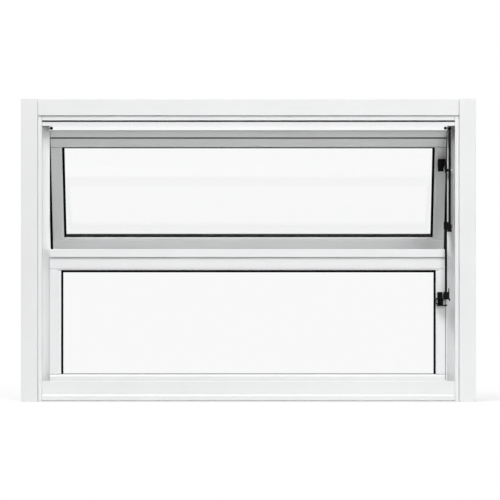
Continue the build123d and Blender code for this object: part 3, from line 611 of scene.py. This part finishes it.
def turned_cap(centre_x):
    """Points and faces of a domed cap that sits on the leaning face of the head's stop."""
    lean = math.radians(CAP_LEAN)
    points = []
    for across, out in CAP_PROFILE:
        for step in range(CAP_SIDES):
            turn = 2 * math.pi * step / CAP_SIDES
            u, v, w = across * CAP_R * math.cos(turn), across * CAP_R * math.sin(turn), out * CAP_R
            points.append((
                centre_x + u, CAP_Y + w * math.cos(lean) - v * math.sin(lean),
                CAP_Z + v * math.cos(lean) + w * math.sin(lean),
            ))
    tip = CAP_TIP * CAP_R
    points.append((centre_x, CAP_Y + tip * math.cos(lean), CAP_Z + tip * math.sin(lean)))
    faces = [tuple(range(CAP_SIDES))]
    rings = len(CAP_PROFILE)
    for ring in range(rings - 1):
        for step in range(CAP_SIDES):
            a, b = ring * CAP_SIDES + step, ring * CAP_SIDES + (step + 1) % CAP_SIDES
            faces.append((a, b, b + CAP_SIDES, a + CAP_SIDES))
    for step in range(CAP_SIDES):
        a, b = (rings - 1) * CAP_SIDES + step, (rings - 1) * CAP_SIDES + (step + 1) % CAP_SIDES
        faces.append((a, b, len(points) - 1))
    return points, faces


for side, name in ((-1, "left"), (1, "right")):
    make_piece(f"{name}_pivot_cap", *turned_cap(side * CAP_X), nylon, "window_frame", "black_nylon")


# Side gear: a nylon bracket on the sash's stile and a steel link join the sash to a flat bar, which a nylon
# coupler carries on the round rod. The rod runs through a guide on the lower light, clamped by a fluted knob.
BRACKET_SCREW_X = 0.2710
BRACKET_SCREW_Y = 0.0102
BRACKET_SCREW_Z = (0.3257, 0.3334)
BRACKET_SEED = 15
GEAR_HEAD = {"Head Radius": 0.0019, "Head Height": 0.0009, "Recess Width": 0.0006, "Recess Depth": 0.0005}

paint(nylon, "sash_bracket", "rod_coupler", "rod_guide_bracket")
paint(steel, "connecting_link", "link_pin", "pull_bar", "lower_rod", "bracket_pin", "coupler_bolt")
paint(zinc, "link_bolt")
steel_heads = screw_head_tree("black_screw_heads", steel)
bracket_places = [
    (on_sash(BRACKET_SCREW_X, BRACKET_SCREW_Y, z), facing_on_sash(-1, 0)) for z in BRACKET_SCREW_Z
]
set_screws(
    "bracket_screws", steel_heads, GEAR_HEAD, BRACKET_SEED, bracket_places, "upper_sash"
)


# Block's rib: moulded on the right side of the bracket on the sash, in the same nylon. It stands behind the
# link's upper end and keeps the link off the stile.
RIB_X = (0.2749, 0.2778)
RIB_OUTLINE = (
    (0.0232, 0.3290), (0.0200, 0.3290), (0.0190, 0.3300),
    (0.0190, 0.3355), (0.0200, 0.3365), (0.0232, 0.3365),
)

rib = extrude_on_sash(RIB_OUTLINE, *RIB_X)
make_piece("bracket_rib", *rib, nylon, "upper_sash", "black_nylon")


# Clamp knob: a tapered nylon knob between the guide's plate and foot, moulded with nine flutes that run out
# downwards and a short lever at its foot. It is a little fuller than the knob that it replaces.
KNOB_X, KNOB_Y = 0.2686, -0.0070
KNOB_LOW, KNOB_TOP = 0.13445, 0.14155
KNOB_LOW_R, KNOB_TOP_R = 0.0035, 0.0043
KNOB_LEVELS = (0.0, 0.04, 0.35, 0.65, 0.95, 1.0)
KNOB_BEVEL = 0.0003
FLUTES = 9
FLUTE_STEPS = 8
FLUTE_DEEP = 0.0007
LEVER_X = (0.2623, 0.2670)
LEVER_OUTLINE = (
    (-0.0080, 0.1347), (-0.0060, 0.1347), (-0.0060, 0.1361),
    (-0.0063, 0.1364), (-0.0077, 0.1364), (-0.0080, 0.1361),
)


def fluted_knob():
    """Points and faces of the knob, whose flutes deepen towards its top, and of the lever in its side."""
    count = FLUTES * FLUTE_STEPS
    points = []
    for share in KNOB_LEVELS:
        radius = KNOB_LOW_R + share * (KNOB_TOP_R - KNOB_LOW_R) - (KNOB_BEVEL if share in (0.0, 1.0) else 0.0)
        for step in range(count):
            turn = 2 * math.pi * step / count
            flute = (0.5 + 0.5 * math.cos(FLUTES * turn)) ** 2
            across = radius - share * FLUTE_DEEP * flute
            points.append((
                KNOB_X + across * math.cos(turn), KNOB_Y + across * math.sin(turn),
                KNOB_LOW + share * (KNOB_TOP - KNOB_LOW),
            ))
    faces = [tuple(range(count)), tuple(range(len(points) - count, len(points)))]
    for level in range(len(KNOB_LEVELS) - 1):
        for step in range(count):
            a, b = level * count + step, level * count + (step + 1) % count
            faces.append((a, b, b + count, a + count))
    first = len(points)
    lever_points, lever_faces = extrude(LEVER_OUTLINE, *LEVER_X)
    return points + lever_points, faces + [tuple(first + i for i in face) for face in lever_faces]


knob = make_piece("fluted_clamp_knob", *fluted_knob(), nylon, "window_frame", "black_nylon")
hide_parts("clamp_knob")


# Spring clip: a strip of black spring steel pressed on beside the guide's block. It stands up past the
# block's top, bent outwards a little, and is thinned towards its tip.
CLIP_Y = (-0.0090, -0.0050)
CLIP_OUTLINE = (
    (0.2795, 0.1433), (0.2807, 0.1433), (0.28095, 0.1443), (0.2810, 0.1500), (0.28095, 0.1535),
    (0.2807, 0.1563), (0.28045, 0.1575), (0.27995, 0.1575), (0.2796, 0.1563), (0.2795, 0.1535),
)

clip_points, clip_faces = extrude(CLIP_OUTLINE, *CLIP_Y)
clip_points = [(across, out, up) for out, across, up in clip_points]
clip = make_piece("bent_spring_clip", clip_points, clip_faces, steel, "window_frame", "black_steel")
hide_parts("guide_spring_clip")


# Studio: a pale floor under the window and a white surround. One broad soft lamp stands above and in front,
# a little to the left, another low on the right, and a third behind for the outdoor side. The camera is in
# front at the window's mid height. The floor runs out into white, and keeps the window's shadow near it.
CAMERA_DISTANCE = 6.8
FIELD_WIDTH = 0.70
VIEW_CENTRE = (0.0022, 0.2107)
SENSOR = 36.0
FLOOR_COLOUR = (0.55, 0.55, 0.55)
FLOOR_SEEN = (0.30, 0.30, 0.30)
FLOOR_GLOW = 0.74
FLOOR_ROUGHNESS = 0.9
FLOOR_SIZE = 12.0
FLOOR_DROP = 0.0005     # below the window's lowest point
FLOOR_FADE = (0.45, 1.1)
KEY_ELEVATION = 55.0
KEY_AZIMUTH = -14.0
KEY_DISTANCE = 2.6
KEY_SIZE = 1.1
KEY_POWER = 54.8
FRONT_ELEVATION = 6.0
FRONT_AZIMUTH = 25.0
FRONT_DISTANCE = 3.0
FRONT_SIZE = 1.2
FRONT_POWER = 26.8
BACK_ELEVATION = 35.0
BACK_AZIMUTH = 160.0
BACK_DISTANCE = 3.0
BACK_SIZE = 1.5
BACK_POWER = 22.0
FILL_LEVEL = 0.16


def add_seen_directly(tree_nodes, links):
    """One where the camera, a reflection or the glass looks, and nought where light falls on things."""
    path = tree_nodes.new("ShaderNodeLightPath")
    total = path.outputs["Is Camera Ray"]
    for name in ("Is Glossy Ray", "Is Transmission Ray"):
        add = tree_nodes.new("ShaderNodeMath")
        add.use_clamp = True
        links.new(total, add.inputs[0])
        links.new(path.outputs[name], add.inputs[1])
        total = add.outputs[0]
    return total


floor_mesh = bpy.data.meshes.new("floor")
floor_half = FLOOR_SIZE / 2
floor_z = cad_box[0][2] - FLOOR_DROP
floor_corners = [(x * floor_half, y * floor_half, floor_z) for x, y in ((-1, -1), (1, -1), (1, 1), (-1, 1))]
floor_mesh.from_pydata(floor_corners, [], [(0, 1, 2, 3)])
floor = bpy.data.objects.new("floor", floor_mesh)
bpy.context.scene.collection.objects.link(floor)
floor_paint, floor_nodes, floor_links, floor_shader = start_material("pale_floor")
floor_shader.inputs["Roughness"].default_value = FLOOR_ROUGHNESS
floor_shader.inputs["Specular IOR Level"].default_value = 0.0
floor_shader.inputs["Emission Color"].default_value = (1, 1, 1, 1)
floor_seen = add_seen_directly(floor_nodes, floor_links)
floor_tone = floor_nodes.new("ShaderNodeMix")
floor_tone.data_type = "RGBA"
floor_tone.inputs["A"].default_value = (*FLOOR_COLOUR, 1)
floor_tone.inputs["B"].default_value = (*FLOOR_SEEN, 1)
floor_links.new(floor_seen, floor_tone.inputs["Factor"])
floor_links.new(floor_tone.outputs["Result"], floor_shader.inputs["Base Color"])
glow = floor_nodes.new("ShaderNodeMath")
glow.operation = "MULTIPLY"
glow.inputs[1].default_value = FLOOR_GLOW
floor_links.new(floor_seen, glow.inputs[0])
floor_links.new(glow.outputs[0], floor_shader.inputs["Emission Strength"])
white = floor_nodes.new("ShaderNodeEmission")
floor_links.new(floor_seen, white.inputs["Strength"])
where = floor_nodes.new("ShaderNodeTexCoord")
reach = floor_nodes.new("ShaderNodeVectorMath")
reach.operation = "LENGTH"
fade = floor_nodes.new("ShaderNodeMapRange")
fade.interpolation_type = "SMOOTHSTEP"
fade.inputs["From Min"].default_value = FLOOR_FADE[0]
fade.inputs["From Max"].default_value = FLOOR_FADE[1]
run_out = floor_nodes.new("ShaderNodeMixShader")
floor_links.new(where.outputs["Object"], reach.inputs[0])
floor_links.new(reach.outputs["Value"], fade.inputs["Value"])
floor_links.new(fade.outputs["Result"], run_out.inputs["Fac"])
floor_links.new(floor_shader.outputs["BSDF"], run_out.inputs[1])
floor_links.new(white.outputs["Emission"], run_out.inputs[2])
floor_out = next(node for node in floor_nodes if node.type == "OUTPUT_MATERIAL")
floor_links.new(run_out.outputs[0], floor_out.inputs["Surface"])
floor_mesh.materials.append(floor_paint)

world = bpy.data.worlds.new("white_surround")
bpy.context.scene.world = world
world.use_nodes = True
world_nodes = world.node_tree.nodes
world_links = world.node_tree.links
world_nodes.clear()
sky_out = world_nodes.new("ShaderNodeOutputWorld")
mix = world_nodes.new("ShaderNodeMixShader")
seen = world_nodes.new("ShaderNodeBackground")
lit = world_nodes.new("ShaderNodeBackground")
seen.inputs["Color"].default_value = (1, 1, 1, 1)
lit.inputs["Color"].default_value = (1, 1, 1, 1)
lit.inputs["Strength"].default_value = FILL_LEVEL
world_links.new(add_seen_directly(world_nodes, world_links), mix.inputs["Fac"])
world_links.new(lit.outputs[0], mix.inputs[1])
world_links.new(seen.outputs[0], mix.inputs[2])
world_links.new(mix.outputs[0], sky_out.inputs["Surface"])

target = Vector((VIEW_CENTRE[0], 0, VIEW_CENTRE[1]))


def add_lamp(name, azimuth, elevation, distance, size, power):
    """Square area lamp that looks at the window. Azimuth 0 is in front, positive to the right."""
    lamp = bpy.data.lights.new(name, "AREA")
    lamp.size = size
    lamp.energy = power
    holder = bpy.data.objects.new(name, lamp)
    turn, rise = math.radians(azimuth), math.radians(elevation)
    holder.location = target + distance * Vector(
        (math.sin(turn) * math.cos(rise), -math.cos(turn) * math.cos(rise), math.sin(rise))
    )
    holder.rotation_euler = (target - holder.location).to_track_quat("-Z", "Y").to_euler()
    bpy.context.scene.collection.objects.link(holder)


add_lamp("key", KEY_AZIMUTH, KEY_ELEVATION, KEY_DISTANCE, KEY_SIZE, KEY_POWER)
add_lamp("front", FRONT_AZIMUTH, FRONT_ELEVATION, FRONT_DISTANCE, FRONT_SIZE, FRONT_POWER)
add_lamp("back", BACK_AZIMUTH, BACK_ELEVATION, BACK_DISTANCE, BACK_SIZE, BACK_POWER)

camera_data = bpy.data.cameras.new("camera")
camera_data.sensor_width = SENSOR
camera_data.lens = SENSOR * CAMERA_DISTANCE / FIELD_WIDTH
camera = bpy.data.objects.new("camera", camera_data)
camera.location = (VIEW_CENTRE[0], -CAMERA_DISTANCE, VIEW_CENTRE[1])
camera.rotation_euler = (math.radians(90), 0, 0)
bpy.context.scene.collection.objects.link(camera)
bpy.context.scene.camera = camera
bpy.context.scene.view_settings.view_transform = "Standard"
